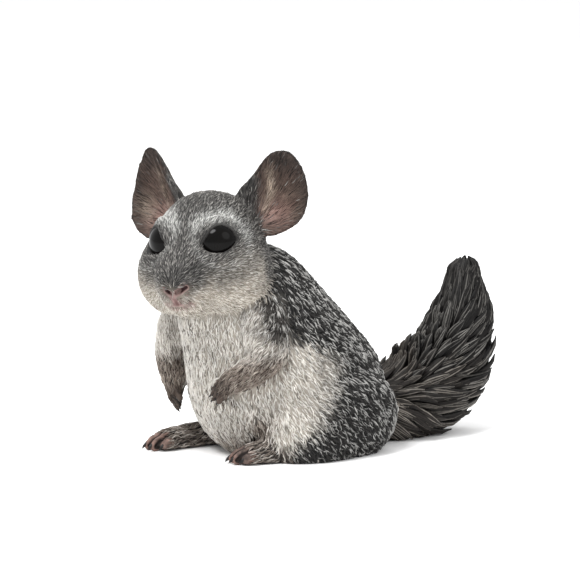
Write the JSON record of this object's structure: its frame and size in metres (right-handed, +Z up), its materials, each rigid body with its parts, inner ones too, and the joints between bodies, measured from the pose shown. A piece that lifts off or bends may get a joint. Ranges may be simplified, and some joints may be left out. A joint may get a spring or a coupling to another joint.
{
  "type": "chinchilla figurine",
  "caption": "Small solid moulded plastic figurine of a chinchilla sitting up on its haunches, head turned to its left, bushy tail raised behind it.",
  "frame": {"origin": "on the floor, under the centre of the figure's bounding box", "axes": "+Z up, the body faces -Y, the animal's left side is +X"},
  "size_m": [0.029, 0.0612, 0.0456],
  "materials": {
    "coat_body": "painted moulded fur strokes, black wash with white-grey dry brushing, pale belly",
    "coat_face": "painted moulded fur strokes, grey with pale brows, cheeks and chin",
    "coat_tail": "painted moulded fur strokes, near-black with grey dry brushing",
    "ear_skin": "painted, dark brown rim and pink base",
    "eye_gloss": "gloss black varnish",
    "hand_foot": "painted, dark brown with pale strokes and pinkish toes",
    "claw": "painted black, satin"
  },
  "bodies": {
    "root": {"torso": "coat_body", "head": "coat_face", "tail": "coat_tail", "ear_left": "ear_skin", "ear_right": "ear_skin", "eye_left": "eye_gloss", "eye_right": "eye_gloss", "arm_left": "coat_body", "arm_right": "coat_body", "hand_left": "hand_foot", "hand_right": "hand_foot", "thigh_left": "coat_body", "thigh_right": "coat_body", "foot_left": "hand_foot", "foot_right": "hand_foot"}
  },
  "joints": []
}
